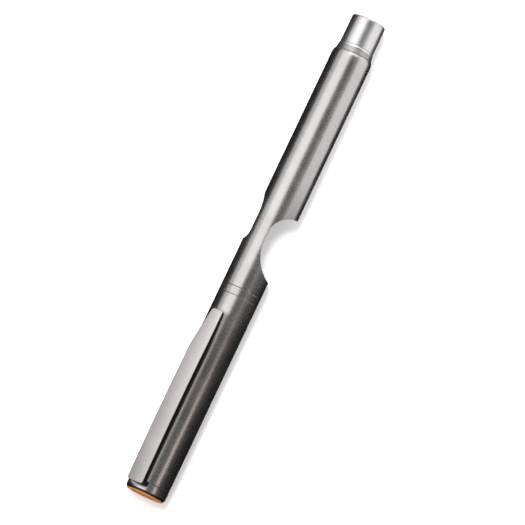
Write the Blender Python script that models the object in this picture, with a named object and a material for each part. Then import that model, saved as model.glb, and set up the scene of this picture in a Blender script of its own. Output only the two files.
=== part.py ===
"""Pocket scriber: a pen-shaped marking tool whose capped carbide point is held in a slit collet.

The tool lies along X on the floor, cap end at -X and tail at +X, with +Z up.
"""
import math

import bmesh
import bpy
from mathutils import Matrix, Vector

MM = 0.001

# overall
BODY_R = 5.6
MIDDLE_X = -0.4          # station of the tool's middle
AXIS_Y = -0.4           # keeps the bounding box centred once the clip stands out
SEAM = 0.08             # gap left at a butt joint
RUN = 0.06              # radial gap of a sliding or turning fit
OUTER_SEGMENTS = 32
MIDDLE_SEGMENTS = 32
INNER_SEGMENTS = 24
THREAD_PITCH = 0.8
AXIS_Z = BODY_R * math.cos(math.pi / OUTER_SEGMENTS)    # the tool lies on one of its flats

# stations along X, from the cap end to the tail
CAP_END_X = -70.0
FINIAL_X = -66.85
CAP_MOUTH_X = -12.5
BARREL_FRONT_X = -10.15
BARREL_REAR_X = 59.1
PLUG_HEAD_X = 61.25
TAIL_X = 69.2

# finger notch and waist
NOTCH_FLOOR_Y = 0.2
NOTCH_TAIL_X, NOTCH_TAIL_R = 7.1, 5.6
NOTCH_FRONT_X, NOTCH_FRONT_R = 4.4, 11.05
NOTCH_TILT = 6.5
WAIST_DEPTH = 0.86
WAIST_TAIL_X, WAIST_TAIL_R = 10.4, 18.7
WAIST_FRONT_X, WAIST_FRONT_R = 5.3, 4.7

# clip
CLIP_ANGLE = 32.5
CLIP_WIDTH = 5.0
CLIP_TIP_WIDTH = 3.4
CLIP_THICK = 1.4
CLIP_GAP = 0.5
CLIP_BOW = 0.45         # how much farther the strap's middle stands off the cap
CLIP_TIP_DROP = 0.3
CLIP_TIP_THINNER = 0.6     # how much thinner the strap is at its tip
CLIP_TIP_X = -17.75
CLIP_TAPER_X = -28.8
CLIP_ROOT_X = -68.1
CLIP_FOOT_LENGTH = 1.1
SLOT_FLOOR_R = 4.35
SLOT_GAP = 0.4
SLOT_SIDE_GAP = 0.4

# fits inside the body
FRONT_BORE_R, FRONT_BORE_X = 3.0, -4.6
STORE_BORE_R, STORE_BORE_X = 2.3, 18.0
PLUG_BORE_R, PLUG_BORE_X = 3.1, 51.5
CAP_BORE_R = 4.75
CAP_WEB_X = -64.6
SHANK_R = 1.1

METALS = {
    "barrel_metal": ((0.60, 0.59, 0.585), 1.0, 0.32),
    "cap_metal": ((0.56, 0.545, 0.54), 1.0, 0.32),
    "clip_metal": ((0.62, 0.605, 0.59), 1.0, 0.42),
    "steel": ((0.50, 0.50, 0.50), 1.0, 0.30),
    "brass": ((0.62, 0.45, 0.20), 1.0, 0.32),
    "copper": ((0.62, 0.27, 0.10), 1.0, 0.38),
    "carbide": ((0.22, 0.22, 0.23), 1.0, 0.28),
    "rubber": ((0.03, 0.03, 0.03), 0.0, 0.75),
    "sleeve_plastic": ((0.08, 0.08, 0.085), 0.0, 0.5),
}


def material(name):
    found = bpy.data.materials.get(name)
    if found:
        return found
    colour, metallic, roughness = METALS[name]
    made = bpy.data.materials.new(name)
    made.use_nodes = True
    shader = made.node_tree.nodes["Principled BSDF"]
    shader.inputs["Base Color"].default_value = (*colour, 1.0)
    shader.inputs["Metallic"].default_value = metallic
    shader.inputs["Roughness"].default_value = roughness
    made.diffuse_color = (*colour, 1.0)
    return made


def add_object(name, mesh_data, slot, smooth=True):
    bmesh.ops.recalc_face_normals(mesh_data, faces=mesh_data.faces)
    mesh = bpy.data.meshes.new(name)
    mesh_data.to_mesh(mesh)
    mesh_data.free()
    obj = bpy.data.objects.new(name, mesh)
    bpy.context.scene.collection.objects.link(obj)
    if slot:
        mesh.materials.append(material(slot))
    if smooth:
        mesh.shade_smooth()
        mesh.set_sharp_from_angle(angle=math.radians(30))
    return obj


def on_axis(obj, x=0.0):
    """Puts an object's origin on the tool's axis."""
    obj.location = ((x - MIDDLE_X) * MM, AXIS_Y * MM, AXIS_Z * MM)
    return obj


def turned(name, slot, outline, segments=OUTER_SEGMENTS, origin_x=0.0):
    """A turned piece: a closed outline of (x, radius) points spun about the axis."""
    data = bmesh.new()
    side, up = math.sin(math.pi / segments) * MM, math.cos(math.pi / segments) * MM
    points = [data.verts.new(((x - origin_x) * MM, radius * side, radius * up)) for x, radius in outline]
    edges = [data.edges.new((points[i], points[(i + 1) % len(points)])) for i in range(len(points))]
    keep = [e for e in edges if max(abs(v.co.z) for v in e.verts) > 1e-9]
    for edge in set(edges) - set(keep):
        data.edges.remove(edge)
    bmesh.ops.spin(data, geom=points + keep, cent=(0, 0, 0), axis=(1, 0, 0), angle=math.tau,
                   steps=segments, use_merge=True)
    bmesh.ops.remove_doubles(data, verts=data.verts, dist=1e-7)
    bmesh.ops.dissolve_degenerate(data, edges=data.edges, dist=1e-8)
    return on_axis(add_object(name, data, slot), origin_x)


def threads(start_x, end_x, crest, depth, pitch=THREAD_PITCH):
    """Outline points of ring threads between two stations; a negative depth cuts outwards."""
    count = int(abs(end_x - start_x) / pitch)
    step = pitch if end_x > start_x else -pitch
    points = []
    for index in range(count):
        x = start_x + index * step
        points += [(x, crest), (x + 0.35 * step, crest), (x + 0.68 * step, crest - depth)]
    points.append((start_x + count * step, crest))
    return points


def grooves(start_x, pitch, count, crest, depth):
    """Outline points of grip grooves, from start_x towards -X."""
    points = []
    for index in range(count):
        x = start_x - index * pitch
        points += [(x, crest), (x - 0.2 * pitch, crest - depth), (x - 0.4 * pitch, crest - depth),
                   (x - 0.6 * pitch, crest)]
    return points


def arc(x, y, radius, start, end, steps):
    """Points of an arc, with both ends; angles in degrees."""
    angles = [math.radians(start + (end - start) * i / steps) for i in range(steps + 1)]
    return [(x + radius * math.cos(a), y + radius * math.sin(a)) for a in angles]


def prism(name, outline, half_height, slot=None):
    """A flat outline of (x, y) points made solid, centred on its own XY plane."""
    data = bmesh.new()
    face = data.faces.new([data.verts.new((x * MM, y * MM, -half_height * MM)) for x, y in outline])
    raised = bmesh.ops.extrude_face_region(data, geom=[face])
    lifted = [v for v in raised["geom"] if isinstance(v, bmesh.types.BMVert)]
    bmesh.ops.translate(data, verts=lifted, vec=(0, 0, 2 * half_height * MM))
    return add_object(name, data, slot, smooth=False)


def ring_bead(name, slot, x, centre_r, bead_r, segments=INNER_SEGMENTS, sides=10):
    """An O-ring."""
    outline = [(x + bead_r * math.cos(a), centre_r + bead_r * math.sin(a))
               for a in (math.tau * i / sides for i in range(sides))]
    return turned(name, slot, outline, segments, x)


def cut(target, cutter):
    cutter.hide_render = True
    cutter.display_type = "WIRE"
    boolean = target.modifiers.new(cutter.name, "BOOLEAN")
    boolean.operation = "DIFFERENCE"
    boolean.solver = "EXACT"
    boolean.object = cutter


def clear_scene():
    for obj in list(bpy.data.objects):
        bpy.data.objects.remove(obj, do_unlink=True)


# ---------------------------------------------------------------- body
def make_barrel():
    barrel = turned("barrel", "barrel_metal", [
        (BARREL_FRONT_X, FRONT_BORE_R), (BARREL_FRONT_X, BODY_R - 0.1), (BARREL_FRONT_X + 0.1, BODY_R),
        (BARREL_REAR_X - 2.0, BODY_R), (BARREL_REAR_X - 1.2, BODY_R - 0.09),
        (BARREL_REAR_X - 0.6, BODY_R - 0.26),
        (BARREL_REAR_X, BODY_R - 0.46), (BARREL_REAR_X, 3.9),
        (PLUG_HEAD_X - 0.15, 3.9), (PLUG_HEAD_X - 0.15, PLUG_BORE_R), (PLUG_BORE_X, PLUG_BORE_R),
        (PLUG_BORE_X - 0.6, STORE_BORE_R), (STORE_BORE_X, STORE_BORE_R), (STORE_BORE_X - 1.2, 0.0),
        (FRONT_BORE_X + 1.0, 0.0), (FRONT_BORE_X, FRONT_BORE_R),
    ])
    tail_side = arc(NOTCH_TAIL_X, NOTCH_FLOOR_Y - NOTCH_TAIL_R, NOTCH_TAIL_R, 0, 90, 12)
    front_end = 90 + math.degrees(math.asin((NOTCH_FRONT_X + 5.6) / NOTCH_FRONT_R))
    front_side = arc(NOTCH_FRONT_X, NOTCH_FLOOR_Y - NOTCH_FRONT_R, NOTCH_FRONT_R, 90, front_end, 12)
    outside = [(front_side[-1][0] - 1.0, -2 * BODY_R), (NOTCH_TAIL_X + NOTCH_TAIL_R, -2 * BODY_R)]
    notch = on_axis(prism("notch_cutter", tail_side + front_side + outside, 2.5 * BODY_R))
    notch.rotation_euler.y = -math.radians(NOTCH_TILT)
    cut(barrel, notch)
    bottom = BODY_R - WAIST_DEPTH
    front_flank = arc(WAIST_FRONT_X, bottom + WAIST_FRONT_R, WAIST_FRONT_R, 200, 270, 8)
    tail_flank = arc(WAIST_TAIL_X, bottom + WAIST_TAIL_R, WAIST_TAIL_R, 270, 302, 8)
    waist = on_axis(prism("waist_cutter", front_flank + tail_flank, 2 * BODY_R))
    waist.rotation_euler.y = -math.radians(NOTCH_TILT)
    cut(barrel, waist)


def make_section():
    seat_r, shoulder_r, major_r, grip_r, nose_r, bore_r = 3.4, 4.25, 4.25, 3.9, 2.75, 1.6
    seal_x, seal_half, seal_floor = -19.6, 0.6, 3.25
    outline = [(FRONT_BORE_X - 0.6, bore_r), (FRONT_BORE_X - 0.6, FRONT_BORE_R - RUN - 0.15),
               (FRONT_BORE_X - 0.8, FRONT_BORE_R - RUN), (BARREL_FRONT_X - SEAM, FRONT_BORE_R - RUN),
               (BARREL_FRONT_X - SEAM, seat_r), (CAP_MOUTH_X, seat_r), (CAP_MOUTH_X, shoulder_r)]
    outline += threads(-13.4, -18.2, major_r, 0.35)
    outline += [(seal_x + seal_half + 0.2, major_r), (seal_x + seal_half, seal_floor),
                (seal_x - seal_half, seal_floor), (seal_x - seal_half - 0.2, grip_r)]
    outline += grooves(-23.0, 3.6, 5, grip_r, 0.3)
    outline += [(-42.2, grip_r), (-42.2, nose_r)]
    outline += threads(-43.0, -47.2, nose_r, 0.3)
    outline += [(-47.9, nose_r), (-48.2, nose_r - 0.2), (-48.2, 2.3), (-46.2, 2.0), (-34.0, 2.0),
                (-34.0, bore_r)]
    turned("grip_section", "steel", outline, INNER_SEGMENTS)
    ring_bead("section_seal", "rubber", seal_x, 3.76, 0.45)
    turned("trim_ring", "cap_metal", [
        (BARREL_FRONT_X - SEAM - 0.04, seat_r + RUN), (CAP_MOUTH_X + 0.10, seat_r + RUN),
        (CAP_MOUTH_X + 0.10, BODY_R - 0.1), (CAP_MOUTH_X + 0.20, BODY_R),
        (BARREL_FRONT_X - SEAM - 0.14, BODY_R), (BARREL_FRONT_X - SEAM - 0.04, BODY_R - 0.1)])
    turned("stop_screw", "steel", [(-21.0, 0.0), (-21.0, 0.7), (-21.6, 0.7), (-21.6, 1.3),
                                   (-25.0, 1.3), (-25.2, 1.1), (-25.2, 0.0)], 24)


def make_point():
    collet = turned("collet", "brass", [
        (-35.0, SHANK_R + 0.3), (-35.0, 1.85), (-47.4, 1.85), (-48.8, 2.45), (-49.6, 2.45), (-50.9, 1.60),
        (-50.9, SHANK_R + RUN), (-45.0, SHANK_R + RUN), (-45.0, SHANK_R + 0.3)],
        INNER_SEGMENTS, -50.0)
    for index in range(2):
        slit_outline = [(-8, -0.2), (12, -0.2), (12, 0.2), (-8, 0.2)]
        slit = on_axis(prism(f"collet_slit_{index}", slit_outline, 5), -56.0)
        slit.rotation_euler.x = math.radians(90 * index)
        cut(collet, slit)
    turned("collet_nut", "steel", [
        (-42.5, 2.85), (-42.5, 3.7), (-42.7, 3.9), (-46.0, 3.9), (-53.4, 2.0), (-53.6, 1.8),
        (-53.6, SHANK_R + 0.25), (-51.6, SHANK_R + 0.25), (-50.2, 2.35), (-49.6, 2.6),
        (-48.6, 2.85)], INNER_SEGMENTS, -48.0)
    turned("point_shank", "steel", [
        (-32.0, 0.0), (-32.0, SHANK_R - 0.15), (-32.2, SHANK_R), (-56.4, SHANK_R), (-56.6, SHANK_R - 0.1),
        (-56.6, 0.55), (-55.4, 0.55), (-55.4, 0.0)], 24, -50.0)
    turned("carbide_tip", "carbide", [
        (-55.5, 0.0), (-55.5, 0.5), (-56.65, 0.5), (-56.65, SHANK_R - 0.1), (-57.4, SHANK_R - 0.1),
        (-60.9, 0.12), (-61.0, 0.0)], 24, -57.0)


# ---------------------------------------------------------------- cap
def make_cap():
    turned("cap_tube", "cap_metal", [
        (CAP_MOUTH_X, CAP_BORE_R), (CAP_MOUTH_X, BODY_R - 0.1), (CAP_MOUTH_X - 0.1, BODY_R),
        (FINIAL_X + SEAM + 0.1, BODY_R), (FINIAL_X + SEAM, BODY_R - 0.1), (FINIAL_X + SEAM, 1.6),
        (CAP_WEB_X, 1.6), (CAP_WEB_X, CAP_BORE_R)])
    turned("thread_insert", "brass", [(CAP_MOUTH_X - 0.15, 4.42), (CAP_MOUTH_X - 0.15, CAP_BORE_R - RUN),
                                      (-20.6, CAP_BORE_R - RUN), (-20.6, 4.36)]
           + threads(-18.4, -13.6, 4.36, -0.2), INNER_SEGMENTS)
    turned("cap_washer", "rubber", [(-20.75, 4.36), (-20.75, 4.66), (-21.5, 4.66), (-21.5, 4.36)],
           INNER_SEGMENTS, -21.0)
    turned("tip_sleeve", "sleeve_plastic", [
        (-23.3, 4.2), (-23.3, 4.62), (-62.1, 4.62), (-62.1, 2.35), (-55.0, 2.35), (-54.9, 4.2)],
        INNER_SEGMENTS, -40.0)
    turned("tip_pad", "rubber", [(-62.2, 0.0), (-62.2, 4.62), (-63.3, 4.62), (-63.3, 0.0)],
           INNER_SEGMENTS, -63.0)
    turned("finial_screw", "steel", [
        (-63.4, 0.0), (-63.4, 2.7), (-64.5, 2.7), (-64.5, 1.5), (-69.1, 1.5), (-69.3, 1.3), (-69.3, 0.0)],
        24, -64.0)


def clip_slot(name, length):
    """The rounded pocket that the clip's foot drops into, cut from outside towards the axis."""
    half = CLIP_WIDTH / 2 + SLOT_SIDE_GAP
    corner = 0.9
    x0, x1 = -length / 2, length / 2
    outline = [(x1, -half), (x1, half)]
    outline += arc(x0 + corner, half - corner, corner, 90, 180, 6)
    outline += arc(x0 + corner, -half + corner, corner, 180, 270, 6)
    pocket = on_axis(prism(name, outline, 2.0))
    pocket.rotation_euler.x = -math.radians(CLIP_ANGLE)
    turn = Matrix.Rotation(-math.radians(CLIP_ANGLE), 4, "X")
    centre = turn @ Vector((0, 0, (SLOT_FLOOR_R + 2.0) * MM))
    pocket.location.y += centre.y
    pocket.location.z += centre.z
    return pocket


def make_finial():
    disc_r, recess_x, rim_x, bevel, bevel_length = 5.15, -69.45, CAP_END_X + 0.1, 0.36, 0.55
    finial = turned("finial_ring", "cap_metal", [
        (FINIAL_X - 0.04, 1.6), (FINIAL_X - 0.04, BODY_R - 0.1), (FINIAL_X - 0.14, BODY_R),
        (rim_x + bevel_length, BODY_R), (rim_x, BODY_R - bevel), (rim_x, disc_r + RUN),
        (recess_x, disc_r + RUN), (recess_x, 1.6)])
    length = CLIP_FOOT_LENGTH + 2 * SLOT_GAP + 1.0
    slot = clip_slot("finial_slot_cutter", length)
    slot.location.x = (CLIP_ROOT_X - SLOT_GAP + length / 2 - MIDDLE_X) * MM
    cut(finial, slot)
    turned("end_disc", "copper", [
        (recess_x - 0.06, 0.0), (recess_x - 0.06, disc_r), (CAP_END_X + 0.12, disc_r),
        (CAP_END_X, disc_r - 1.5), (CAP_END_X, 0.0)])


def tip_part(x):
    """0 up to where the clip starts to taper, 1 at its tip."""
    return max(0.0, (x - CLIP_TAPER_X) / (CLIP_TIP_X - CLIP_TAPER_X))


def clip_half_width(x):
    """Half the clip's width at a station: rounded at the root and the tip, tapered towards the tip."""
    corner = 0.8
    half = CLIP_WIDTH / 2 + (CLIP_TIP_WIDTH - CLIP_WIDTH) / 2 * tip_part(x)
    inset = max(CLIP_ROOT_X + corner - x, x - CLIP_TIP_X + corner, 0.0)
    return half - corner + math.sqrt(max(corner ** 2 - inset ** 2, 0.0))


def clip_lift(x):
    """How far the strap is raised at a station: bowed in the middle, dropped at the tip."""
    along = (x - CLIP_ROOT_X) / (CLIP_TIP_X - CLIP_ROOT_X)
    return 4 * CLIP_BOW * along * (1 - along) - CLIP_TIP_DROP * tip_part(x)


def make_clip():
    """The clip is drawn flat with its outer face up, then turned about the tool's axis."""
    inner_r = BODY_R + CLIP_GAP
    foot_x, foot_r = CLIP_ROOT_X + CLIP_FOOT_LENGTH, SLOT_FLOOR_R + 0.15
    origin = Vector((CLIP_ROOT_X + CLIP_FOOT_LENGTH / 2, 0.0, SLOT_FLOOR_R + 0.9))
    ease, bends = (0.0, 0.12, 0.35, 0.8), 6
    stations = [CLIP_ROOT_X + e for e in ease]
    stations += [foot_x + (CLIP_TAPER_X - foot_x) * i / bends for i in range(bends + 1)]
    stations += [(CLIP_TAPER_X + CLIP_TIP_X) / 2] + [CLIP_TIP_X - e for e in ease[::-1]]
    data = bmesh.new()

    def corner(x, y, z):
        return data.verts.new((Vector((x, y, z)) - origin) * MM)

    strap, foot = [], []
    for x in stations:
        half = clip_half_width(x)
        low = inner_r + clip_lift(x)
        high = low + CLIP_THICK - CLIP_TIP_THINNER * tip_part(x)
        strap.append([corner(x, -half, high), corner(x, half, high),
                      corner(x, half, low), corner(x, -half, low)])
        if x <= foot_x:
            foot.append([corner(x, half, foot_r), corner(x, -half, foot_r)])
    for i, (a, b) in enumerate(zip(strap, strap[1:])):
        sides = [(a[0], a[1], b[1], b[0]), (a[1], a[2], b[2], b[1]), (a[3], a[0], b[0], b[3])]
        if i + 1 < len(foot):
            c, d = foot[i], foot[i + 1]
            sides += [(a[2], c[0], d[0], b[2]), (c[0], c[1], d[1], d[0]), (c[1], a[3], b[3], d[1])]
        else:
            sides.append((a[2], a[3], b[3], b[2]))
        for side in sides:
            data.faces.new(side)
    last = len(foot) - 1
    for i in (0, last):
        data.faces.new((strap[i][2], strap[i][3], foot[i][1], foot[i][0]))
    data.faces.new(strap[0])
    data.faces.new(strap[-1])
    clip = add_object("clip", data, "clip_metal", smooth=False)
    turn = Matrix.Rotation(-math.radians(CLIP_ANGLE), 4, "X")
    on_axis(clip)
    clip.location += turn @ (origin * MM)
    clip.rotation_euler.x = -math.radians(CLIP_ANGLE)


# ---------------------------------------------------------------- tail
def make_tail():
    ring_in = 3.9 + RUN
    ring_x0, ring_x1 = BARREL_REAR_X + SEAM, PLUG_HEAD_X - SEAM
    pitch = 0.45
    crests = [(x, r + (ring_x1 - x) * 0.14) for x, r in
              threads(ring_x0 + 0.02, ring_x1 - 0.55, 4.85, 0.1, pitch)]
    turned("tail_thread", "barrel_metal", [(ring_x1, ring_in), (ring_x0, ring_in), (ring_x0, 5.08)]
           + crests + [(ring_x1, 4.74)])
    head_r, shank_r, seal_x, round_r = 4.71, PLUG_BORE_R - RUN - 0.04, 59.9, 0.5
    head = [(PLUG_HEAD_X, head_r - 0.08), (PLUG_HEAD_X + 0.08, head_r)]
    head += [(TAIL_X - round_r + round_r * math.sin(math.radians(a)),
              head_r - round_r + round_r * math.cos(math.radians(a))) for a in (0, 30, 60, 90)]
    head += [(TAIL_X, 0.0)]
    shank = [(50.6, 0.0), (50.6, 1.0), (46.6, 1.0), (46.6, 1.9), (50.4, 1.9), (51.2, 2.1), (52.2, 2.1)]
    shank += threads(52.6, 57.9, shank_r, 0.35)
    shank += [(seal_x - 0.55, shank_r), (seal_x - 0.5, 2.3), (seal_x + 0.5, 2.3), (seal_x + 0.55, shank_r),
              (PLUG_HEAD_X, shank_r)]
    turned("tail_plug", "barrel_metal", shank + head, MIDDLE_SEGMENTS)
    ring_bead("plug_seal", "rubber", seal_x, 2.68, 0.34, 24, 8)
    turned("spare_bush", "brass", [(46.4, 0.72), (46.4, 1.9), (44.0, 1.9), (43.6, 1.7), (43.6, 0.72)],
           24, 45.0)
    turned("spare_point", "carbide", [(50.2, 0.0), (50.2, 0.62), (33.6, 0.62), (31.0, 0.0)], 24, 45.0)


clear_scene()
make_barrel()
make_section()
make_point()
make_cap()
make_finial()
make_clip()
make_tail()
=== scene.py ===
"""Looks for the pocket scriber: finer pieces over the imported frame, materials, floor, lights and camera."""
import math

import bmesh
import bpy
from mathutils import Matrix, Vector

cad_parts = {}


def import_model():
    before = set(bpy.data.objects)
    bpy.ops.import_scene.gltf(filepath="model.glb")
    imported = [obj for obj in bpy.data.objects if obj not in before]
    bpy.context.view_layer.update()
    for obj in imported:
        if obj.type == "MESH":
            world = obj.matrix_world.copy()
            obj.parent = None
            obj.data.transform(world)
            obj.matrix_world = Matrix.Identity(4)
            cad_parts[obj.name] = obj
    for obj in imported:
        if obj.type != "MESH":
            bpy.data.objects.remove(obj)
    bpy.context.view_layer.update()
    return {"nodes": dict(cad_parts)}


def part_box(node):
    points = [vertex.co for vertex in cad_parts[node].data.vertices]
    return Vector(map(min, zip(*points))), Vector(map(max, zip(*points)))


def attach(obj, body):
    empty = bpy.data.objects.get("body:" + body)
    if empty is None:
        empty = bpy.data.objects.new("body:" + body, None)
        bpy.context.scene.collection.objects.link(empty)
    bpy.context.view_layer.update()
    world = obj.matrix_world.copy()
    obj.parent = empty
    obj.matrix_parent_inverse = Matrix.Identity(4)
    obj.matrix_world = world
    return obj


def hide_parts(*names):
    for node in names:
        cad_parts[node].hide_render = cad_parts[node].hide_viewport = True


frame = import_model()

MM = 0.001
SHIFT = 0.4             # a station along the tool plus this is its world X, in millimetres
BARREL_LOW, BARREL_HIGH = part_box("barrel")
AXIS_Y = (BARREL_LOW[1] + BARREL_HIGH[1]) / 2 / MM
AXIS_Z = (BARREL_LOW[2] + BARREL_HIGH[2]) / 2 / MM
BODY_R = (BARREL_HIGH[2] - BARREL_LOW[2]) / 2 / MM
FINE = 160              # segments round an outside surface
PITCH = 0.8             # of the cap, nose and plug threads
CUT_TILT = 6.5          # degrees that the notch and the waist lean towards the cap
CLIP_ANGLE = math.radians(32.5)
CLIP_WIDTH, TIP_WIDTH = 5.0, 3.4
CLIP_THICK = 1.4
CLIP_GAP = 0.5          # from the cap to the clip's inner face, at its root
CLIP_CORNER = 0.8
TAPER_X = -28.8         # the clip narrows from here to its tip
SIDE_FACING = 0.35      # faces standing steeper than this are the clip's sides, which take the painted shade
SLOT_FLOOR_R = 4.35
SLOT_GAP, SLOT_SIDE_GAP = 0.4, 0.35


def ends(node):
    """A node's first and last station, in millimetres."""
    low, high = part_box(node)
    return low[0] / MM - SHIFT, high[0] / MM - SHIFT


def radius_of(node):
    low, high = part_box(node)
    return (high[1] - low[1]) / 2 / MM


# ---------------------------------------------------------------- materials
class Nodes:
    """Short calls for building a node tree."""

    def __init__(self, name):
        self.material = bpy.data.materials.new(name)
        self.material.use_nodes = True
        self.tree = self.material.node_tree
        self.shader = self.tree.nodes["Principled BSDF"]

    def add(self, kind, **settings):
        node = self.tree.nodes.new(kind)
        for key, value in settings.items():
            setattr(node, key, value)
        return node

    def link(self, source, target):
        self.tree.links.new(source, target)

    def mapping(self, scale):
        coordinates = self.add("ShaderNodeTexCoord")
        mapping = self.add("ShaderNodeMapping")
        mapping.inputs["Scale"].default_value = scale
        self.link(coordinates.outputs["Object"], mapping.inputs["Vector"])
        return mapping.outputs["Vector"]

    def noise(self, scale, stretch=(1, 1, 1), detail=3, roughness=0.55):
        noise = self.add("ShaderNodeTexNoise")
        noise.inputs["Scale"].default_value = scale
        noise.inputs["Detail"].default_value = detail
        noise.inputs["Roughness"].default_value = roughness
        self.link(self.mapping(stretch), noise.inputs["Vector"])
        return noise.outputs["Fac"]

    def spread(self, value, low, high, from_low=0.3, from_high=0.7):
        spread = self.add("ShaderNodeMapRange")
        spread.inputs["From Min"].default_value = from_low
        spread.inputs["From Max"].default_value = from_high
        spread.inputs["To Min"].default_value = low
        spread.inputs["To Max"].default_value = high
        self.link(value, spread.inputs["Value"])
        return spread.outputs["Result"]

    def math(self, operation, first, second):
        node = self.add("ShaderNodeMath", operation=operation)
        for index, value in enumerate((first, second)):
            if isinstance(value, (int, float)):
                node.inputs[index].default_value = value
            else:
                self.link(value, node.inputs[index])
        return node.outputs[0]

    def mix(self, factor, low, high):
        mix = self.add("ShaderNodeMix", data_type="RGBA")
        self.link(factor, mix.inputs["Factor"])
        for socket, colour in (("A", low), ("B", high)):
            target = [s for s in mix.inputs if s.name == socket and s.type == "RGBA"][0]
            if isinstance(colour, tuple):
                target.default_value = (*colour, 1)
            else:
                self.link(colour, target)
        return [s for s in mix.outputs if s.type == "RGBA"][0]

    def across(self, direction):
        """Distance in metres along a direction from the piece's own origin."""
        coordinates = self.add("ShaderNodeTexCoord")
        dot = self.add("ShaderNodeVectorMath", operation="DOT_PRODUCT")
        dot.inputs[1].default_value = direction
        self.link(coordinates.outputs["Object"], dot.inputs[0])
        return dot.outputs["Value"]

    def bump(self, height, strength, distance):
        bump = self.add("ShaderNodeBump")
        bump.inputs["Strength"].default_value = strength
        bump.inputs["Distance"].default_value = distance
        self.link(height, bump.inputs["Height"])
        self.link(bump.outputs["Normal"], self.shader.inputs["Normal"])


def painted_shade_beside_clip(n):
    """1 on the cap's surface right beside the clip, fading to 0 within a millimetre. The cap is painted
    darker there: painted shade and a painted reflection of the clip's dark side.
    """
    sideways = n.across((0, math.cos(CLIP_ANGLE), -math.sin(CLIP_ANGLE)))
    near = n.spread(n.math("ABSOLUTE", sideways, 0), 1, 0, 2.7 * MM, 3.7 * MM)
    outward = n.across((0, math.sin(CLIP_ANGLE), math.cos(CLIP_ANGLE)))
    facing = n.spread(outward, 0, 1, 0, 1 * MM)
    before_tip = n.spread(n.across((1, 0, 0)), 1, 0, -18.6 * MM, -17.2 * MM)
    return n.math("MULTIPLY", n.math("MULTIPLY", near, facing), before_tip)


def painted_highlight_along_clip(n):
    """0 at the clip's root and 1 at its tip; the clip is painted lighter along it, a painted highlight."""
    return n.spread(n.across((1, 0, 0)), 0, 1, 0, 50 * MM)


def metal(name, colour, roughness, grain=0.05, turned_marks=0.3, metallic=1.0, bump=0.12, painted_light_mask=None,
          painted_light_level=1.0):
    """Tumbled metal with grain, turning marks and patches of polish; an optional mask marks out an area
    painted lighter (a painted highlight) or darker (painted shade) by the given level.
    """
    n = Nodes(name)
    patches = n.noise(140, detail=4)
    fine = n.noise(3100, detail=2, roughness=0.7)
    rings = n.noise(900, stretch=(6.0, 0.35, 0.35), detail=2)
    brushed = n.noise(700, stretch=(0.25, 5.0, 5.0), detail=2)
    dark = tuple(c * 0.84 for c in colour)
    worn = tuple(min(1.0, c * 1.08) for c in colour)
    tone = n.math("ADD", n.math("MULTIPLY", patches, 0.5), n.math("MULTIPLY", fine, 0.5))
    shade = n.mix(n.spread(tone, 0, 1, 0.35, 0.65), dark, worn)
    if painted_light_mask:
        shade = n.mix(painted_light_mask(n), shade, tuple(min(1.0, c * painted_light_level) for c in colour))
    n.link(shade, n.shader.inputs["Base Color"])
    surface = n.math("ADD", n.math("MULTIPLY", rings, turned_marks), n.math("MULTIPLY", brushed, 0.5))
    rough = n.math("ADD", n.spread(patches, roughness - 0.03, roughness + 0.03),
                   n.spread(fine, -grain, grain))
    n.link(rough, n.shader.inputs["Roughness"])
    n.bump(n.math("ADD", n.math("MULTIPLY", fine, 0.6), surface), bump, 0.00001)
    n.shader.inputs["Metallic"].default_value = metallic
    return n.material


def plain(name, colour, roughness, coarse=900, depth=0.15):
    """Rubber or moulded plastic with a fine mottled surface."""
    n = Nodes(name)
    mottle = n.noise(coarse, detail=4)
    n.link(n.mix(mottle, tuple(c * 0.8 for c in colour), tuple(c * 1.25 for c in colour)),
           n.shader.inputs["Base Color"])
    n.link(n.spread(mottle, roughness - 0.06, roughness + 0.06), n.shader.inputs["Roughness"])
    n.bump(mottle, depth, 0.00002)
    return n.material


BARREL = metal("tumbled_barrel", (0.64, 0.62, 0.615), 0.28)
CAP = metal("tumbled_cap", (0.62, 0.595, 0.59), 0.28)
# The cap shell is painted darker right beside the clip: painted shade and a painted reflection of the clip's
# dark side.
CAP_SHELL = metal("tumbled_cap_shell_painted_shade", (0.62, 0.595, 0.59), 0.28, painted_light_mask=painted_shade_beside_clip, painted_light_level=0.45)
TAIL = metal("turned_tail", (0.84, 0.825, 0.82), 0.33)
# The clip is painted lighter towards its tip: a painted highlight.
CLIP = metal("blasted_clip_painted_highlight", (0.57, 0.545, 0.54), 0.40, grain=0.08, turned_marks=0.1, painted_light_mask=painted_highlight_along_clip,
             painted_light_level=1.35)
# Near-black colour for painted shade on the clip's sides, its foot and the finial's chamfer.
PAINTED_SHADE = metal("painted_shade_edges", (0.07, 0.062, 0.06), 0.45)
STEEL = metal("turned_steel", (0.55, 0.55, 0.56), 0.25)
BRASS = metal("turned_brass", (0.72, 0.52, 0.22), 0.28)
BAND = metal("threaded_band", (0.60, 0.585, 0.58), 0.34, grain=0.10, bump=0.3)
COPPER = metal("satin_copper", (0.70, 0.27, 0.06), 0.5, grain=0.08, metallic=0.25)
CARBIDE = metal("ground_carbide", (0.25, 0.25, 0.27), 0.22)
RUBBER = plain("seal_rubber", (0.02, 0.02, 0.02), 0.7)
PLASTIC = plain("sleeve_plastic", (0.05, 0.05, 0.055), 0.5)


# ---------------------------------------------------------------- shapes
def finish_mesh(name, data, material, location=(0, 0, 0), sharp=30):
    bmesh.ops.recalc_face_normals(data, faces=data.faces)
    mesh = bpy.data.meshes.new(name)
    data.to_mesh(mesh)
    data.free()
    if material:
        mesh.materials.append(material)
    mesh.shade_smooth()
    mesh.set_sharp_from_angle(angle=math.radians(sharp))
    obj = bpy.data.objects.new(name, mesh)
    bpy.context.scene.collection.objects.link(obj)
    obj.location = [v * MM for v in location]
    return obj


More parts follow.
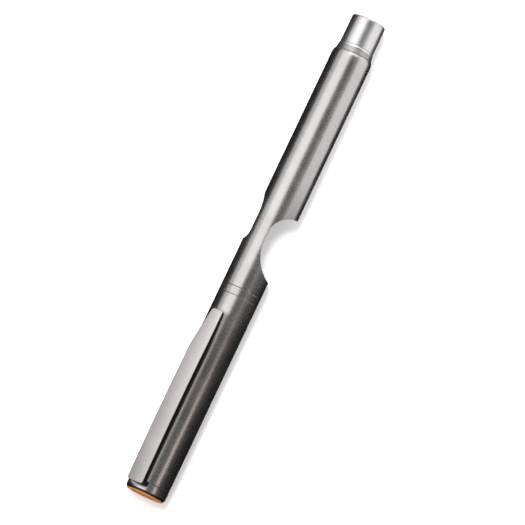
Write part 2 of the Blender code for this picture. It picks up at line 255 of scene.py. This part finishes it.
def lathe(name, material, outline, segments=FINE):
    """A closed outline of (x, radius) points in millimetres, spun about the tool's axis."""
    data = bmesh.new()
    points = [data.verts.new((x * MM, 0, radius * MM)) for x, radius in outline]
    edges = []
    for index, point in enumerate(points):
        following = points[(index + 1) % len(points)]
        if max(abs(point.co.z), abs(following.co.z)) > 1e-9:
            edges.append(data.edges.new((point, following)))
    bmesh.ops.spin(data, geom=points + edges, cent=(0, 0, 0), axis=(1, 0, 0), angle=math.tau,
                   steps=segments, use_merge=True)
    bmesh.ops.remove_doubles(data, verts=data.verts, dist=1e-7)
    return finish_mesh(name, data, material, (SHIFT, AXIS_Y, AXIS_Z))


def rounded(x0, x1, r_in, r_out, edge=0.08):
    """A ring's outline with eased outer edges.

    A guard point beside each edge keeps the long face's shading straight.
    """
    corner = [(math.sin(math.radians(a)) * edge, math.cos(math.radians(a)) * edge) for a in (0, 30, 60, 90)]
    low = [(x0 + edge - s, r_out - edge + c) for s, c in reversed(corner)]
    high = [(x1 - edge + s, r_out - edge + c) for s, c in corner]
    guard = [(x0 + 3 * edge, r_out), (x1 - 3 * edge, r_out)]
    return [(x0, r_in)] + low + guard + high + [(x1, r_in)]


def threaded(name, material, x0, x1, root_r, crest_r, pitch, bore_r, steps=120, flare=0.0):
    """A right-hand helical thread with run-out at both ends, closed onto a bore; flare widens its x0 end."""
    data = bmesh.new()
    across = int((x1 - x0) / pitch * 14)
    rows = []
    for j in range(across + 1):
        x = x0 + (x1 - x0) * j / across
        fade = min(1.0, j / 6, (across - j) / 6)
        row = []
        for i in range(steps):
            turn = i / steps
            phase = (x / pitch - turn) % 1.0
            ridge = min(1.0, max(0.0, 1.6 - abs(phase - 0.5) * 5.2))
            r = root_r + (crest_r - root_r) * ridge * fade + flare * (x1 - x) / (x1 - x0)
            a = math.tau * turn
            row.append(data.verts.new((x * MM, -math.sin(a) * r * MM, math.cos(a) * r * MM)))
        rows.append(row)
    for x in (x1, x0):
        rows.append([data.verts.new((x * MM, -math.sin(math.tau * i / steps) * bore_r * MM,
                                     math.cos(math.tau * i / steps) * bore_r * MM)) for i in range(steps)])
    rows.append(rows[0])
    for lower, upper in zip(rows, rows[1:]):
        for i in range(steps):
            k = (i + 1) % steps
            data.faces.new((lower[i], lower[k], upper[k], upper[i]))
    return finish_mesh(name, data, material, (SHIFT, AXIS_Y, AXIS_Z), 50)


def place(piece, body, nodes):
    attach(piece, body)
    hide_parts(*nodes)


def extruded(outline, half_height):
    data = bmesh.new()
    face = data.faces.new([data.verts.new((x * MM, y * MM, -half_height * MM)) for x, y in outline])
    raised = bmesh.ops.extrude_face_region(data, geom=[face])
    lifted = [v for v in raised["geom"] if isinstance(v, bmesh.types.BMVert)]
    bmesh.ops.translate(data, verts=lifted, vec=(0, 0, 2 * half_height * MM))
    return data


def arc(x, y, radius, start, end, steps):
    angles = [math.radians(start + (end - start) * i / steps) for i in range(steps + 1)]
    return [(x + radius * math.cos(a), y + radius * math.sin(a)) for a in angles]


def cut(target, cutter):
    """Takes the cutter out of the target, works that into the target's mesh and removes the cutter."""
    boolean = target.modifiers.new("cut", "BOOLEAN")
    boolean.operation, boolean.solver, boolean.object = "DIFFERENCE", "EXACT", cutter
    bpy.context.view_layer.update()
    evaluated = target.evaluated_get(bpy.context.evaluated_depsgraph_get())
    made = bpy.data.meshes.new_from_object(evaluated)
    old = target.data
    target.modifiers.clear()
    target.data = made
    bpy.data.meshes.remove(old)
    bpy.data.objects.remove(cutter)


def carve(target, outline, tilt):
    """Cuts an outline, leaning by the tilt, right through the target along Z."""
    cutter = finish_mesh("cutter", extruded(outline, 16), None, (SHIFT, AXIS_Y, AXIS_Z))
    cutter.rotation_euler.y = -math.radians(tilt)
    cut(target, cutter)


# ---------------------------------------------------------------- barrel
def notch_outline():
    """The hollow in the -Y side: a short arc towards the tail and a long one towards the cap."""
    floor_y, open_y, end_x = 0.2, -12, -5.6
    tail_x, tail_r, front_x, front_r = 7.1, 5.6, 4.4, 11.05
    tail_side = arc(tail_x, floor_y - tail_r, tail_r, 0, 90, 40)
    front_end = 90 + math.degrees(math.asin((front_x - end_x) / front_r))
    front_side = arc(front_x, floor_y - front_r, front_r, 90, front_end, 40)
    return tail_side + front_side + [(front_side[-1][0] - 1, open_y), (tail_x + tail_r, open_y)]


def waist_outline():
    """The shallow hollow in the +Y side: two arcs that share its deepest level."""
    bottom = BODY_R - 0.86
    front_x, front_r, tail_x, tail_r = 5.3, 4.7, 10.4, 18.7
    front_side = arc(front_x, bottom + front_r, front_r, 200, 270, 30)
    return front_side + arc(tail_x, bottom + tail_r, tail_r, 270, 302, 40)


def make_barrel():
    x0, x1 = ends("barrel")
    rear = ends("tail_thread")[0] - 0.08
    section_bore, neck_r, plug_bore, spare_bore = 3.0, 3.9, 3.1, 2.3
    shoulder = ((1.9, 0.0), (1.6, 0.0), (1.1, 0.02), (0.7, 0.07), (0.35, 0.18), (0.05, 0.32), (0.0, 0.36))
    outline = [(x0, section_bore)] + rounded(x0, x0 + 1, section_bore, BODY_R)[1:4]
    outline += [(x0 + 0.08, BODY_R), (x0 + 0.4, BODY_R)]
    outline += [(rear - back, BODY_R - drop) for back, drop in shoulder]
    outline += [(rear, neck_r), (x1, neck_r), (x1, plug_bore), (51.5, plug_bore), (50.9, spare_bore),
                (18.0, spare_bore), (16.8, 0.0), (-3.6, 0.0), (-4.6, section_bore)]
    barrel = lathe("barrel_body", BARREL, outline)
    carve(barrel, notch_outline(), CUT_TILT)
    carve(barrel, waist_outline(), CUT_TILT)
    barrel.data.shade_smooth()
    barrel.data.set_sharp_from_angle(angle=math.radians(25))
    place(barrel, "body", ["barrel"])


def make_bands():
    """The ring between barrel and cap, and the finely threaded ring with its lip at the tail."""
    x0, x1 = ends("trim_ring")
    place(lathe("trim_band", CAP, rounded(x0, x1, 3.46, BODY_R)), "body", ["trim_ring"])
    x0, x1 = ends("tail_thread")
    bore = 3.96
    band = threaded("fine_thread", BAND, x0, x1 - 0.55, 4.83, 4.89, 0.3, bore, flare=0.24)
    place(band, "body", ["tail_thread"])
    lip = [(x1 - 0.6, bore), (x1 - 0.6, 4.88), (x1 - 0.52, 4.9), (x1 - 0.3, 4.86), (x1, 4.76), (x1, bore)]
    place(lathe("thread_lip", TAIL, lip), "body", ["tail_thread"])


make_barrel()
make_bands()


# ---------------------------------------------------------------- grip section and point
def make_section():
    rear, front = ends("grip_section")[1], ends("grip_section")[0]
    mouth = ends("cap_tube")[1]
    shoulder = ends("trim_ring")[1] + 0.04
    core = [(rear, 1.6), (rear, 2.8), (rear - 0.2, 2.94), (shoulder, 2.94), (shoulder, 3.4), (mouth, 3.4),
            (mouth, 3.88), (-18.5, 3.88), (-18.5, 4.2), (-18.9, 4.2), (-19.0, 3.25), (-20.2, 3.25),
            (-20.3, 4.1), (-20.5, 4.2), (-20.9, 4.2), (-21.3, 3.9)]
    for index in range(9):
        x = -22.4 - index * 2.0
        core += [(x, 3.9), (x - 0.1, 3.84), (x - 0.25, 3.62), (x - 0.45, 3.6), (x - 0.65, 3.62),
                 (x - 0.8, 3.84), (x - 0.9, 3.9)]
    core += [(-41.9, 3.9), (-42.2, 3.75), (-42.2, 2.5), (front + 0.1, 2.5), (front, 2.4), (front, 2.3),
             (front + 2, 2.0), (-34, 2.0), (-34, 1.6)]
    place(lathe("section_core", STEEL, core, 112), "body", ["grip_section"])
    place(threaded("section_thread", STEEL, -18.45, mouth - 0.3, 3.9, 4.25, PITCH, 3.85), "body",
          ["grip_section"])
    place(threaded("nose_thread", STEEL, front + 0.15, -42.6, 2.5, 2.75, PITCH, 2.45, 80), "body",
          ["grip_section"])


def make_point():
    low, high = ends("collet_nut")
    nut = [(high, 2.85), (high, 3.72), (high - 0.05, 3.82), (high - 0.2, 3.9)]
    for index in range(5):
        x = high - 0.6 - index * 0.55
        nut += [(x, 3.9), (x - 0.1, 3.74), (x - 0.2, 3.74), (x - 0.3, 3.9)]
    nut += [(-46.0, 3.9), (-46.15, 3.87), (-53.3, 2.05), (low + 0.08, 1.92), (low, 1.8), (low, 1.38),
            (-51.6, 1.38), (-50.2, 2.37), (-49.6, 2.62), (-48.6, 2.85)]
    place(lathe("nose_cone", STEEL, nut, 112), "nut", ["collet_nut"])
    low, high = ends("point_shank")
    place(lathe("scriber_shank", STEEL, [(low, 0.55), (low, 1.0), (low + 0.15, 1.08), (low + 0.3, 1.1),
                (high - 0.2, 1.1), (high, 0.95), (high, 0.0), (-55.4, 0.0), (-55.4, 0.55)], 64),
          "point", ["point_shank"])
    low, high = ends("carbide_tip")
    place(lathe("carbide_point", CARBIDE, [(low, 0.0), (low + 0.06, 0.07), (low + 0.16, 0.13),
                (-57.45, 0.96), (-57.35, 1.0), (-56.7, 1.0), (-56.65, 0.96), (-56.65, 0.5), (high, 0.5),
                (high, 0.0)], 64), "point", ["carbide_tip"])


make_section()
make_point()


# ---------------------------------------------------------------- cap
def about_axis(obj, x, radial):
    """Turns a piece drawn with its outside up to the clip's angle, at that distance from the axis."""
    turn = Matrix.Rotation(-CLIP_ANGLE, 4, "X")
    out = turn @ Vector((0, 0, radial))
    obj.location = ((x + SHIFT) * MM, (AXIS_Y + out.y) * MM, (AXIS_Z + out.z) * MM)
    obj.rotation_euler.x = -CLIP_ANGLE


def make_cap():
    x0, x1 = ends("cap_tube")
    web = -64.6
    shell = rounded(x0, x1, 1.6, BODY_R)[:-1]
    shell += [(x1, 4.84), (x1 - 0.12, 4.75), (web, 4.75), (web, 1.6)]
    place(lathe("cap_shell", CAP_SHELL, shell), "cap", ["cap_tube"])
    x0, x1 = ends("thread_insert")
    insert = [(x1, 4.42), (x1, 4.69), (x0, 4.69), (x0, 4.36)]
    for index in range(8):
        x = x0 + 1.2 + index * 0.75
        insert += [(x, 4.36), (x + 0.1, 4.36), (x + 0.35, 4.54), (x + 0.45, 4.54)]
    place(lathe("mouth_thread", BRASS, insert + [(x1 - 0.2, 4.36)], 112), "cap", ["thread_insert"])
    x0, x1 = ends("tip_sleeve")
    liner = [(x1, 4.3), (x1, 4.55), (x1 - 0.1, 4.62), (x0, 4.62), (x0, 2.35), (-55.0, 2.35), (-54.9, 4.2),
             (x1 - 0.1, 4.2)]
    place(lathe("sleeve_liner", PLASTIC, liner, 96), "sleeve", ["tip_sleeve"])


def clip_pocket():
    """The cutter for the rounded pocket that the clip's foot drops into."""
    half, corner, length, half_depth = CLIP_WIDTH / 2 + SLOT_SIDE_GAP, 0.9, 2.4, 2.0
    root = ends("clip")[0] - SLOT_GAP
    outline = [(root + length, -half), (root + length, half)]
    outline += arc(root + corner, half - corner, corner, 90, 180, 12)
    outline += arc(root + corner, -half + corner, corner, 180, 270, 12)
    pocket = finish_mesh("pocket", extruded(outline, half_depth), None)
    about_axis(pocket, 0, SLOT_FLOOR_R + half_depth)
    return pocket


def make_finial():
    """The cap's end ring, with painted shade on the chamfer round the end disc."""
    x0, x1 = ends("finial_ring")
    recess = ends("end_disc")[1] + 0.06
    disc_r = radius_of("end_disc")
    rim, bore = x0 + 0.2, 1.6
    chamfer = rim + 0.62
    ring = [(x1, bore), (x1, BODY_R - 0.08), (x1 - 0.03, BODY_R - 0.02), (x1 - 0.1, BODY_R),
            (x1 - 0.3, BODY_R), (rim + 0.9, BODY_R), (rim + 0.7, BODY_R), (chamfer, BODY_R - 0.02),
            (rim + 0.05, BODY_R - 0.34), (rim, disc_r + 0.07), (rim + 0.03, disc_r + 0.04),
            (recess, disc_r + 0.04), (recess, bore)]
    finial = lathe("finial_body", CAP, ring)
    cut(finial, clip_pocket())
    finial.data.shade_smooth()
    finial.data.set_sharp_from_angle(angle=math.radians(30))
    # Faces of the chamfer round the end disc take the painted shade.
    finial.data.materials.append(PAINTED_SHADE)
    for face in finial.data.polygons:
        centre = face.center / MM
        if centre.x < chamfer and math.hypot(centre.y, centre.z) > disc_r + 0.02:
            face.material_index = 1
    place(finial, "cap", ["finial_ring"])


def make_end_disc():
    x0, x1 = ends("end_disc")
    disc_r = radius_of("end_disc")
    disc = [(x1, 0.0), (x1, disc_r - 0.05), (x1 - 0.05, disc_r), (x0 + 0.2, disc_r),
            (x0 + 0.13, disc_r - 0.03), (x0 + 0.1, disc_r - 0.1), (x0 + 0.05, disc_r - 0.7),
            (x0, disc_r - 1.6), (x0, 0.0)]
    place(lathe("end_face", COPPER, disc), "cap", ["end_disc"])


def tip_part(x, tip):
    """0 up to where the clip starts to taper, 1 at its tip."""
    return max(0.0, (x - TAPER_X) / (tip - TAPER_X))


def strap_half(x, root, tip):
    """Half the strap's width: eased into its taper, with rounded corners at both ends."""
    taper = tip_part(x, tip)
    half = CLIP_WIDTH / 2 - (CLIP_WIDTH - TIP_WIDTH) / 2 * (taper * 0.8 + taper * taper * 0.2)
    inset = max(root + CLIP_CORNER - x, x - tip + CLIP_CORNER, 0.0)
    return half - CLIP_CORNER + math.sqrt(max(CLIP_CORNER ** 2 - inset ** 2, 0.0))


def strap_rows(root, tip, edge):
    """Stations along the strap, each with how far its outline is drawn in there to ease the two ends."""
    eased = [(edge * (1 - math.sin(math.radians(a))), edge * (1 - math.cos(math.radians(a))))
             for a in (90, 65, 40, 20, 0)]
    rows = [(root + step, inset) for step, inset in eased]
    rows += [(root + edge + 0.1 * i, 0) for i in range(1, 7)]
    rows += [(root + 1 + (TAPER_X - root - 1) * i / 26, 0) for i in range(27)]
    rows += [(TAPER_X + (tip - 0.9 - TAPER_X) * i / 12, 0) for i in range(1, 13)]
    rows += [(tip - edge - 0.1 * i, 0) for i in range(6, 0, -1)]
    return rows + [(tip - step, inset) for step, inset in reversed(eased)]


def make_strap(root, tip):
    """Drawn flat with its outer face up and the root at -X, then turned about the axis."""
    thinner, bow, drop, edge = 0.6, 0.45, 0.35, 0.22
    data = bmesh.new()
    rows = []
    for x, inset in strap_rows(root, tip, edge):
        along = (x - root) / (tip - root)
        taper = tip_part(x, tip)
        lift = 4 * bow * along * (1 - along) - (drop + thinner / 2) * taper
        half, rise = strap_half(x, root, tip) - inset, (CLIP_THICK - thinner * taper) / 2 - inset
        radius = edge - inset * 0.6
        row = []
        for turn, (cy, cz) in enumerate(((half, rise), (-half, rise), (-half, -rise), (half, -rise))):
            centre_y, centre_z = cy - math.copysign(radius, cy), cz - math.copysign(radius, cz)
            for a in (0, 22.5, 45, 67.5, 90):
                spin = math.radians(turn * 90 + a)
                y, z = centre_y + radius * math.cos(spin), centre_z + radius * math.sin(spin)
                row.append(data.verts.new(((x - root) * MM, y * MM, (z + lift) * MM)))
        rows.append(row)
    for lower, upper in zip(rows, rows[1:]):
        for i in range(len(lower)):
            k = (i + 1) % len(lower)
            data.faces.new((lower[i], lower[k], upper[k], upper[i]))
    data.faces.new(rows[0])
    data.faces.new(rows[-1])
    data.normal_update()
    # The clip's steep side faces take the painted shade.
    for face in data.faces:
        face.material_index = 1 if abs(face.normal.z) < SIDE_FACING else 0
    strap = finish_mesh("clip_bar", data, CLIP, sharp=40)
    strap.data.materials.append(PAINTED_SHADE)
    about_axis(strap, root, BODY_R + CLIP_GAP + CLIP_THICK / 2)
    place(strap, "clip", ["clip"])


def make_foot(root):
    """The block under the strap's root that stands in the finial's pocket."""
    half, corner, length = CLIP_WIDTH / 2, CLIP_CORNER, 1.1
    inside = 0.03       # how far the foot stays within the strap's outline
    outline = arc(corner, half - corner - inside, corner - inside, 90, 180, 10)
    outline += arc(corner, -half + corner + inside, corner - inside, 180, 270, 10)
    outline += [(length, -half + inside), (length, half - inside)]
    low, high = 4.5, BODY_R + CLIP_GAP + 0.5
    # The foot takes the painted shade, dark as the shade down in the pocket.
    foot = finish_mesh("clip_foot", extruded(outline, (high - low) / 2), PAINTED_SHADE)
    about_axis(foot, root, (low + high) / 2)
    place(foot, "clip", ["clip"])


make_cap()
make_finial()
make_end_disc()
clip_root, clip_tip = ends("clip")
make_strap(clip_root, clip_tip)
make_foot(clip_root)


# ---------------------------------------------------------------- tail
def make_tail():
    x0, x1 = ends("tail_plug")
    head_x, head_r, edge = 61.25, 4.71, 0.5
    head = [(head_x, head_r - 0.05), (head_x + 0.05, head_r), (head_x + 0.3, head_r),
            (x1 - edge - 0.3, head_r)]
    head += [(x1 - edge + edge * math.sin(math.radians(a)), head_r - edge + edge * math.cos(math.radians(a)))
             for a in range(0, 91, 9)]
    head += [(x1, 0.0)]
    shank = [(50.6, 0.0), (50.6, 1.0), (x0, 1.0), (x0, 1.9), (50.4, 1.9), (51.2, 2.1), (52.0, 2.1),
             (52.4, 2.6), (59.3, 2.6), (59.4, 2.3), (60.4, 2.3), (60.45, 3.0), (head_x, 3.0)]
    place(lathe("tail_knob", TAIL, shank + head), "plug", ["tail_plug"])
    place(threaded("plug_thread", TAIL, 52.5, 59.2, 2.62, 3.0, PITCH, 2.58, 80), "plug", ["tail_plug"])


make_tail()

KEPT = {"section_seal": RUBBER, "stop_screw": STEEL, "cap_washer": RUBBER, "tip_pad": RUBBER,
        "finial_screw": STEEL, "collet": BRASS, "plug_seal": RUBBER, "spare_bush": BRASS,
        "spare_point": CARBIDE}
for node, material in KEPT.items():
    for slot in frame["nodes"][node].material_slots:
        slot.material = material


# ---------------------------------------------------------------- studio
def floor():
    n = Nodes("studio_floor")
    tone = n.noise(35, detail=2)
    n.link(n.mix(tone, (0.90, 0.90, 0.90), (0.93, 0.93, 0.93)), n.shader.inputs["Base Color"])
    n.link(n.spread(tone, 0.85, 0.95), n.shader.inputs["Roughness"])
    n.shader.inputs["Specular IOR Level"].default_value = 0.1
    data = bmesh.new()
    bmesh.ops.create_grid(data, x_segments=4, y_segments=4, size=3.0)
    ground = finish_mesh("studio_ground", data, n.material)
    ground.visible_glossy = False
    ground.visible_shadow = False


def softbox(name, angle, distance, width, length, radiance, x=0.0, colour=(1, 1, 1)):
    """A long light beside the tool, at an angle from straight up towards image left (+Y)."""
    lamp = bpy.data.lights.new(name, "AREA")
    lamp.shape, lamp.size, lamp.size_y = "RECTANGLE", length, width
    lamp.energy = radiance * math.pi * width * length
    lamp.color = colour
    obj = bpy.data.objects.new(name, lamp)
    a = math.radians(angle)
    obj.location = (x, distance * math.sin(a), AXIS_Z * MM + distance * math.cos(a))
    obj.rotation_euler = (-a, 0, 0)
    bpy.context.scene.collection.objects.link(obj)


def world():
    scene_world = bpy.data.worlds.new("studio_world")
    scene_world.use_nodes = True
    tree = scene_world.node_tree
    background = tree.nodes["Background"]
    coordinates = tree.nodes.new("ShaderNodeTexCoord")
    parts = tree.nodes.new("ShaderNodeSeparateXYZ")
    ramp = tree.nodes.new("ShaderNodeValToRGB")
    tree.links.new(coordinates.outputs["Generated"], parts.inputs["Vector"])
    spread = tree.nodes.new("ShaderNodeMapRange")
    spread.inputs["From Min"].default_value = -1
    tree.links.new(parts.outputs["Z"], spread.inputs["Value"])
    tree.links.new(spread.outputs["Result"], ramp.inputs["Fac"])
    stops = ((0.0, 0.012), (0.5, 0.02), (0.8, 0.07), (1.0, 0.12))
    elements = ramp.color_ramp.elements
    while len(elements) < len(stops):
        elements.new(0.5)
    for element, (place_at, value) in zip(elements, stops):
        element.position = place_at
        element.color = (value, value * 0.985, value * 0.975, 1)
    sideways = tree.nodes.new("ShaderNodeMath")
    sideways.operation = "ABSOLUTE"
    tree.links.new(parts.outputs["X"], sideways.inputs[0])
    glow = tree.nodes.new("ShaderNodeMapRange")
    for socket, value in (("From Min", 0.4), ("From Max", 0.9), ("To Min", 0.0), ("To Max", 0.38)):
        glow.inputs[socket].default_value = value
    tree.links.new(sideways.outputs[0], glow.inputs["Value"])
    total = tree.nodes.new("ShaderNodeVectorMath")
    tree.links.new(ramp.outputs["Color"], total.inputs[0])
    tree.links.new(glow.outputs["Result"], total.inputs[1])
    tree.links.new(total.outputs["Vector"], background.inputs["Color"])
    bpy.context.scene.world = scene_world


CAMERA_TILT = 6.5
CAMERA_ROLL = 25.4
CAMERA_DISTANCE = 1.8
FRAME_WIDTH = 0.1383
AIM_RIGHT, AIM_UP = 0.00139, -0.00135


def camera():
    tilt, roll = math.radians(CAMERA_TILT), math.radians(CAMERA_ROLL)
    forward = Vector((math.sin(tilt), 0, -math.cos(tilt)))
    along = Vector((math.cos(tilt), 0, math.sin(tilt)))
    left = Vector((0, 1, 0))
    up = along * math.cos(roll) + left * math.sin(roll)
    right = forward.cross(up)
    target = Vector((0, AXIS_Y * MM, AXIS_Z * MM)) + right * AIM_RIGHT + up * AIM_UP
    data = bpy.data.cameras.new("camera")
    data.sensor_width = 36
    data.lens = 36 * CAMERA_DISTANCE / FRAME_WIDTH
    data.clip_start, data.clip_end = 0.01, 20
    obj = bpy.data.objects.new("camera", data)
    back = -forward
    obj.matrix_world = Matrix((
        (right.x, up.x, back.x, 0), (right.y, up.y, back.y, 0), (right.z, up.z, back.z, 0), (0, 0, 0, 1)))
    obj.location = target - forward * CAMERA_DISTANCE
    bpy.context.scene.collection.objects.link(obj)
    bpy.context.scene.camera = obj


def tail_light():
    """Seen only by the shoulders that face the tail."""
    lamp = bpy.data.lights.new("tail_light", "AREA")
    lamp.shape, lamp.size, lamp.size_y = "RECTANGLE", 0.22, 0.30
    lamp.energy = 1.1 * math.pi * lamp.size * lamp.size_y
    obj = bpy.data.objects.new("tail_light", lamp)
    lean, distance = math.radians(46), 0.40
    obj.location = (0.06 + distance * math.sin(lean), 0, distance * math.cos(lean))
    obj.rotation_euler = (0, lean, 0)
    bpy.context.scene.collection.objects.link(obj)


def sun(name, angle, toward_tail, strength, spread, shadow=True):
    """The floor's own light: it is left out of every reflection."""
    lamp = bpy.data.lights.new(name, "SUN")
    lamp.energy, lamp.angle, lamp.use_shadow = strength, math.radians(spread), shadow
    obj = bpy.data.objects.new(name, lamp)
    obj.rotation_euler = (-math.radians(angle), math.radians(toward_tail), 0)
    obj.visible_glossy = False
    bpy.context.scene.collection.objects.link(obj)


floor()
world()
softbox("left_softbox", 35, 0.45, 0.44, 1.2, 1.22)
softbox("left_softbox_edge", 74, 0.45, 0.18, 1.2, 0.62)
softbox("right_softbox", -74, 0.12, 0.165, 0.20, 0.95, x=0.126)
softbox("right_ramp", -30, 0.25, 0.06, 0.26, 0.25, x=0.163)
softbox("cap_strip", -40, 0.25, 0.06, 0.28, 1.05, x=-0.152, colour=(1.0, 0.88, 0.84))
tail_light()
sun("floor_fill", 0, 0, 1.1, 1, shadow=False)
sun("floor_sun", 13, 10.5, 2.1, 15)
camera()
bpy.context.scene.view_settings.view_transform = "Standard"
